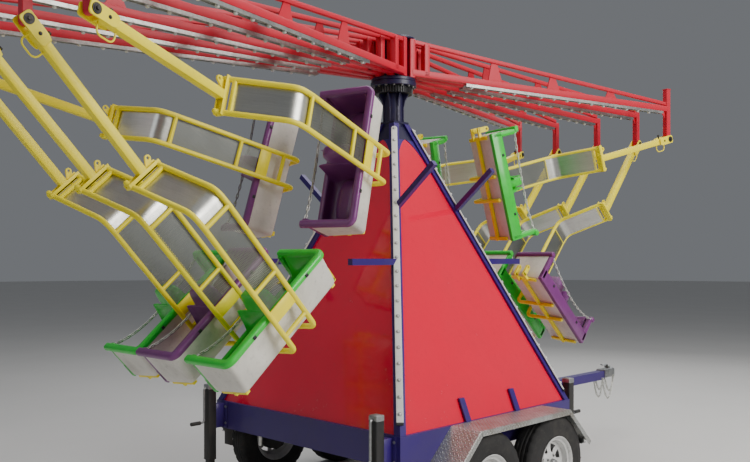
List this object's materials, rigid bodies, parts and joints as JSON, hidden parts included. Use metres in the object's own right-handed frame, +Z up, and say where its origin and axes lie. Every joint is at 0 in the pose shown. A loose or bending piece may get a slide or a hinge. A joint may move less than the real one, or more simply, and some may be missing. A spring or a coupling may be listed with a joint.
{
  "type": "trailer mounted swing ride",
  "caption": "Fairground swing ride folded on its road trailer: a pyramid tower carries a turning hub with folded sweep arms and hanging tub seats.",
  "frame": {"origin": "on the ground, on the hub's turning axis", "axes": "+Z up along the hub's axis, +Y forward to the tow hitch, +X to the trailer's right side"},
  "size_m": [2.26, 6.0845, 3.275],
  "materials": {
    "red_paint": "gloss",
    "indigo_paint": "satin",
    "yellow_paint": "satin",
    "tub_shell": "gloss",
    "black_paint": "satin",
    "zinc": "satin",
    "tread_plate": "satin",
    "tyre": "matte"
  },
  "bodies": {
    "trailer": {"trailer_frame": "indigo_paint", "tongue": "indigo_paint", "axle_rear": "indigo_paint", "axle_front": "indigo_paint", "hitch_coupler": "zinc", "fender_right": "tread_plate", "fender_left": "tread_plate", "jack_rear_left": "black_paint", "jack_rear_right": "black_paint", "jack_front_left": "black_paint", "jack_front_right": "black_paint", "corner_post_rear_left": "indigo_paint", "corner_post_rear_right": "indigo_paint", "corner_post_front_left": "indigo_paint", "corner_post_front_right": "indigo_paint", "tower_panel_right": "red_paint", "tower_panel_front": "red_paint", "tower_panel_left": "red_paint", "tower_panel_rear": "red_paint", "mast": "indigo_paint"},
    "rotor": {"hub": "indigo_paint", "arm_rear_centre": "red_paint", "arm_front_centre": "red_paint"},
    "arm_rear_outer_left": {"arm_rear_outer_left": "red_paint"},
    "seat_rear_outer_left": {"hanger_rear_outer_left": "yellow_paint", "tub_rear_outer_left": "tub_shell"},
    "arm_rear_inner_left": {"arm_rear_inner_left": "red_paint"},
    "seat_rear_inner_left": {"hanger_rear_inner_left": "yellow_paint", "tub_rear_inner_left": "tub_shell"},
    "seat_rear_centre": {"hanger_rear_centre": "yellow_paint", "tub_rear_centre": "tub_shell"},
    "arm_rear_inner_right": {"arm_rear_inner_right": "red_paint"},
    "seat_rear_inner_right": {"hanger_rear_inner_right": "yellow_paint", "tub_rear_inner_right": "tub_shell"},
    "arm_rear_outer_right": {"arm_rear_outer_right": "red_paint"},
    "seat_rear_outer_right": {"hanger_rear_outer_right": "yellow_paint", "tub_rear_outer_right": "tub_shell"},
    "arm_front_outer_right": {"arm_front_outer_right": "red_paint"},
    "seat_front_outer_right": {"hanger_front_outer_right": "yellow_paint", "tub_front_outer_right": "tub_shell"},
    "arm_front_inner_right": {"arm_front_inner_right": "red_paint"},
    "seat_front_inner_right": {"hanger_front_inner_right": "yellow_paint", "tub_front_inner_right": "tub_shell"},
    "seat_front_centre": {"hanger_front_centre": "yellow_paint", "tub_front_centre": "tub_shell"},
    "arm_front_inner_left": {"arm_front_inner_left": "red_paint"},
    "seat_front_inner_left": {"hanger_front_inner_left": "yellow_paint", "tub_front_inner_left": "tub_shell"},
    "arm_front_outer_left": {"arm_front_outer_left": "red_paint"},
    "seat_front_outer_left": {"hanger_front_outer_left": "yellow_paint", "tub_front_outer_left": "tub_shell"},
    "wheel_rear_right": {"wheel_rear_right": "tyre"},
    "wheel_rear_left": {"wheel_rear_left": "tyre"},
    "wheel_front_right": {"wheel_front_right": "tyre"},
    "wheel_front_left": {"wheel_front_left": "tyre"},
    "jack_leg_rear_left": {"jack_leg_rear_left": "black_paint"},
    "jack_leg_rear_right": {"jack_leg_rear_right": "black_paint"},
    "jack_leg_front_left": {"jack_leg_front_left": "black_paint"},
    "jack_leg_front_right": {"jack_leg_front_right": "black_paint"}
  },
  "joints": [
    {"name": "hub_spin", "type": "hinge", "parent": "trailer", "child": "rotor", "pos_m": [0, 0, 3], "axis": [0, 0, 1], "continuous": true},
    {"name": "unfold_rear_outer_left", "type": "hinge", "parent": "rotor", "child": "arm_rear_outer_left", "pos_m": [-0.13315, -0.04326, 3], "axis": [0, 0, 1], "range_deg": [-58.25, 0]},
    {"name": "swing_rear_outer_left", "type": "hinge", "parent": "arm_rear_outer_left", "child": "seat_rear_outer_left", "pos_m": [-0.785, -2.70459, 2.75], "axis": [-0.9713, 0.2379, 0], "range_deg": [0, 88]},
    {"name": "unfold_rear_inner_left", "type": "hinge", "parent": "rotor", "child": "arm_rear_inner_left", "pos_m": [-0.08229, -0.11326, 3], "axis": [0, 0, 1], "range_deg": [-28.75, 0]},
    {"name": "swing_rear_inner_left", "type": "hinge", "parent": "arm_rear_inner_left", "child": "seat_rear_inner_left", "pos_m": [-0.43, -2.83111, 2.75], "axis": [-1, 0, 0], "range_deg": [0, 88]},
    {"name": "swing_rear_centre", "type": "hinge", "parent": "rotor", "child": "seat_rear_centre", "pos_m": [0, -2.88, 2.75], "axis": [-1, 0, 0], "range_deg": [0, 88]},
    {"name": "unfold_rear_inner_right", "type": "hinge", "parent": "rotor", "child": "arm_rear_inner_right", "pos_m": [0.08229, -0.11326, 3], "axis": [0, 0, 1], "range_deg": [0, 28.75]},
    {"name": "swing_rear_inner_right", "type": "hinge", "parent": "arm_rear_inner_right", "child": "seat_rear_inner_right", "pos_m": [0.43, -2.83111, 2.75], "axis": [-1, 0, 0], "range_deg": [0, 88]},
    {"name": "unfold_rear_outer_right", "type": "hinge", "parent": "rotor", "child": "arm_rear_outer_right", "pos_m": [0.13315, -0.04326, 3], "axis": [0, 0, 1], "range_deg": [0, 58.24]},
    {"name": "swing_rear_outer_right", "type": "hinge", "parent": "arm_rear_outer_right", "child": "seat_rear_outer_right", "pos_m": [0.785, -2.70459, 2.75], "axis": [-0.9713, -0.2379, 0], "range_deg": [0, 88]},
    {"name": "unfold_front_outer_right", "type": "hinge", "parent": "rotor", "child": "arm_front_outer_right", "pos_m": [0.13315, 0.04326, 3], "axis": [0, 0, 1], "range_deg": [-58.25, 0]},
    {"name": "swing_front_outer_right", "type": "hinge", "parent": "arm_front_outer_right", "child": "seat_front_outer_right", "pos_m": [0.785, 2.70459, 2.75], "axis": [0.9713, -0.2379, 0], "range_deg": [0, 88]},
    {"name": "unfold_front_inner_right", "type": "hinge", "parent": "rotor", "child": "arm_front_inner_right", "pos_m": [0.08229, 0.11326, 3], "axis": [0, 0, 1], "range_deg": [-28.75, 0]},
    {"name": "swing_front_inner_right", "type": "hinge", "parent": "arm_front_inner_right", "child": "seat_front_inner_right", "pos_m": [0.43, 2.83111, 2.75], "axis": [1, 0, 0], "range_deg": [0, 88]},
    {"name": "swing_front_centre", "type": "hinge", "parent": "rotor", "child": "seat_front_centre", "pos_m": [0, 2.88, 2.75], "axis": [1, 0, 0], "range_deg": [0, 88]},
    {"name": "unfold_front_inner_left", "type": "hinge", "parent": "rotor", "child": "arm_front_inner_left", "pos_m": [-0.08229, 0.11326, 3], "axis": [0, 0, 1], "range_deg": [0, 28.75]},
    {"name": "swing_front_inner_left", "type": "hinge", "parent": "arm_front_inner_left", "child": "seat_front_inner_left", "pos_m": [-0.43, 2.83111, 2.75], "axis": [1, 0, 0], "range_deg": [0, 88]},
    {"name": "unfold_front_outer_left", "type": "hinge", "parent": "rotor", "child": "arm_front_outer_left", "pos_m": [-0.13315, 0.04326, 3], "axis": [0, 0, 1], "range_deg": [0, 58.25]},
    {"name": "swing_front_outer_left", "type": "hinge", "parent": "arm_front_outer_left", "child": "seat_front_outer_left", "pos_m": [-0.785, 2.70459, 2.75], "axis": [0.9713, 0.2379, 0], "range_deg": [0, 88]},
    {"name": "roll_wheel_rear_right", "type": "hinge", "parent": "trailer", "child": "wheel_rear_right", "pos_m": [1.025, -0.31, 0.32594], "axis": [1, 0, 0], "continuous": true},
    {"name": "roll_wheel_rear_left", "type": "hinge", "parent": "trailer", "child": "wheel_rear_left", "pos_m": [-1.025, -0.31, 0.32594], "axis": [1, 0, 0], "continuous": true},
    {"name": "roll_wheel_front_right", "type": "hinge", "parent": "trailer", "child": "wheel_front_right", "pos_m": [1.025, 0.41, 0.32594], "axis": [1, 0, 0], "continuous": true},
    {"name": "roll_wheel_front_left", "type": "hinge", "parent": "trailer", "child": "wheel_front_left", "pos_m": [-1.025, 0.41, 0.32594], "axis": [1, 0, 0], "continuous": true},
    {"name": "lower_jack_leg_rear_left", "type": "slide", "parent": "trailer", "child": "jack_leg_rear_left", "axis": [0, 0, -1], "range_m": [0, 0.215]},
    {"name": "lower_jack_leg_rear_right", "type": "slide", "parent": "trailer", "child": "jack_leg_rear_right", "axis": [0, 0, -1], "range_m": [0, 0.215]},
    {"name": "lower_jack_leg_front_left", "type": "slide", "parent": "trailer", "child": "jack_leg_front_left", "axis": [0, 0, -1], "range_m": [0, 0.215]},
    {"name": "lower_jack_leg_front_right", "type": "slide", "parent": "trailer", "child": "jack_leg_front_right", "axis": [0, 0, -1], "range_m": [0, 0.215]}
  ],
  "couplings": [
    {"joint": "unfold_rear_outer_left", "follows": "unfold_rear_outer_right", "ratio": -1},
    {"joint": "swing_rear_outer_left", "follows": "swing_rear_inner_left", "ratio": 1},
    {"joint": "unfold_rear_inner_left", "follows": "unfold_rear_outer_right", "ratio": -0.49297},
    {"joint": "unfold_rear_inner_right", "follows": "unfold_rear_outer_right", "ratio": 0.49297},
    {"joint": "swing_rear_outer_right", "follows": "swing_rear_inner_right", "ratio": 1},
    {"joint": "unfold_front_outer_right", "follows": "unfold_rear_outer_right", "ratio": -1},
    {"joint": "swing_front_outer_right", "follows": "swing_front_inner_right", "ratio": 1},
    {"joint": "unfold_front_inner_right", "follows": "unfold_rear_outer_right", "ratio": -0.49297},
    {"joint": "unfold_front_inner_left", "follows": "unfold_rear_outer_right", "ratio": 0.49297},
    {"joint": "unfold_front_outer_left", "follows": "unfold_rear_outer_right", "ratio": 1},
    {"joint": "swing_front_outer_left", "follows": "swing_front_inner_left", "ratio": 1}
  ]
}
